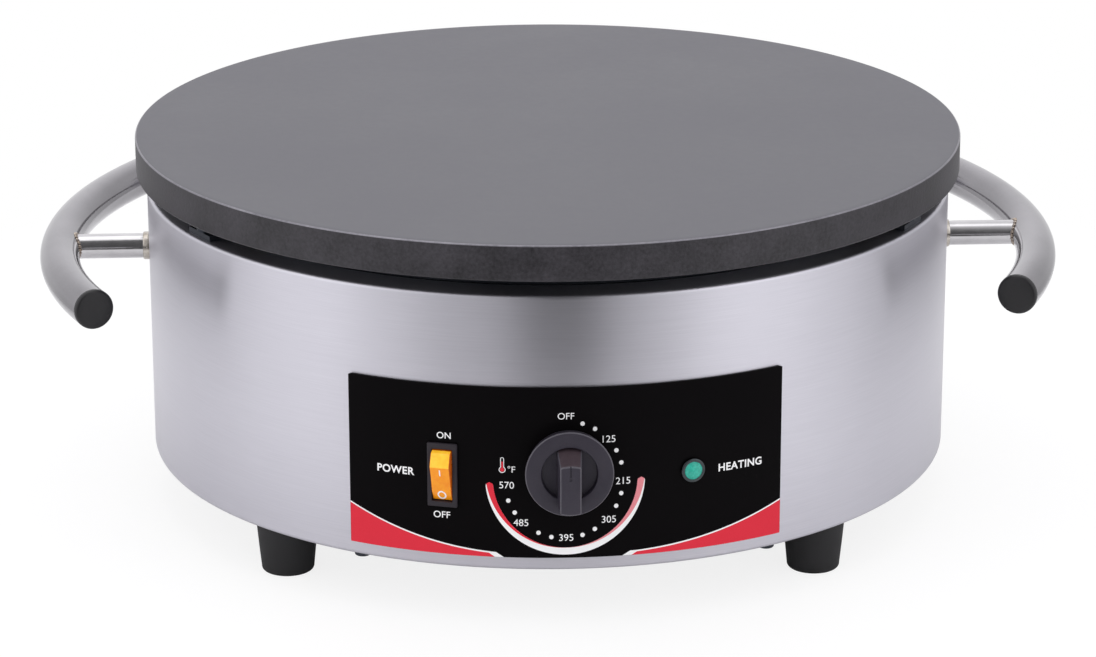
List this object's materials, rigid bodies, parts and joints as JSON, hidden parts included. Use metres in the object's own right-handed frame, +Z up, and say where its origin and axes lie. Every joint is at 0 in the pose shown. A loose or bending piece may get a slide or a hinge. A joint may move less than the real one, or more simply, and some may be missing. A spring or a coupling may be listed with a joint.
{
  "type": "electric crepe maker",
  "caption": "Countertop electric crepe maker: round cast-iron plate on a brushed steel drum with a thermostat knob, rocker switch, lamp, carrying rail and rubber feet.",
  "frame": {"origin": "on the drum's axis, at the level of the surface that the feet stand on", "axes": "+Z up out of the cooking plate, -Y towards the control panel, +X to the right seen from the front"},
  "size_m": [0.4954, 0.4614, 0.182],
  "materials": {
    "cast_iron": "seasoned, ground top",
    "shell_steel": "brushed round the drum",
    "rail_steel": "polished tube",
    "base_steel": "zinc-coated sheet",
    "shield_steel": "blued sheet steel",
    "clamp_steel": "plain sheet steel",
    "fastener_steel": "bright zinc",
    "element_sheath": "oxidised sheath",
    "insulation": "ceramic fibre board",
    "foot_rubber": "matt black",
    "cap_plastic": "satin black",
    "panel_film": "printed gloss film",
    "knob_plastic": "satin dark grey",
    "shaft_steel": "turned",
    "control_plastic": "moulded",
    "capillary_copper": "drawn tube",
    "rocker_amber": "translucent amber",
    "lamp_chrome": "dark bright ring",
    "lamp_green": "translucent green",
    "terminal_plastic": "moulded",
    "lead_insulation": "heat-resistant sleeve"
  },
  "bodies": {
    "base": {"cooking_plate": "cast_iron", "body_shell": "shell_steel", "handle_rail": "rail_steel", "handle_stub_left": "rail_steel", "handle_stub_right": "rail_steel", "handle_stub_rear": "rail_steel", "base_plate": "base_steel", "control_bracket": "base_steel", "plate_support_1": "base_steel", "plate_support_2": "base_steel", "plate_support_3": "base_steel", "heat_shield": "shield_steel", "element_clamp": "clamp_steel", "bulb_clips": "clamp_steel", "clamp_studs": "fastener_steel", "clamp_washers": "fastener_steel", "clamp_nuts": "fastener_steel", "plate_screws": "fastener_steel", "support_bolts": "fastener_steel", "support_nuts": "fastener_steel", "base_screws": "fastener_steel", "base_nuts": "fastener_steel", "foot_screws": "fastener_steel", "foot_washers": "fastener_steel", "foot_nuts": "fastener_steel", "stub_washers": "fastener_steel", "stub_nuts": "fastener_steel", "control_bracket_screws": "fastener_steel", "control_bracket_nuts": "fastener_steel", "thermostat_screws": "fastener_steel", "bulb_screws": "fastener_steel", "cutout_screws": "fastener_steel", "lamp_nut": "fastener_steel", "terminal_screws": "fastener_steel", "earth_stud": "fastener_steel", "earth_nuts": "fastener_steel", "heating_element": "element_sheath", "insulation_pad": "insulation", "foot_1": "foot_rubber", "foot_2": "foot_rubber", "foot_3": "foot_rubber", "foot_4": "foot_rubber", "rail_cap_left": "cap_plastic", "rail_cap_right": "cap_plastic", "panel_overlay": "panel_film", "thermostat_body": "control_plastic", "switch_housing": "control_plastic", "safety_cutout": "control_plastic", "cable_gland": "control_plastic", "gland_nut": "control_plastic", "thermostat_bulb": "capillary_copper", "lamp_bezel": "lamp_chrome", "lamp_lens": "lamp_green", "terminal_block": "terminal_plastic", "wiring_leads": "lead_insulation"},
    "thermostat_control": {"thermostat_knob": "knob_plastic", "thermostat_shaft": "shaft_steel"},
    "power_rocker": {"switch_rocker": "rocker_amber"}
  },
  "joints": [
    {"name": "thermostat_turn", "type": "hinge", "parent": "base", "child": "thermostat_control", "pos_m": [0, -0.1961, 0.076], "axis": [0, 1, 0], "range_deg": [0, 270]},
    {"name": "power_press", "type": "hinge", "parent": "base", "child": "power_rocker", "pos_m": [-0.05608, -0.18692, 0.0714], "axis": [-0.9578, 0.2874, 0], "range_deg": [0, 20]}
  ]
}
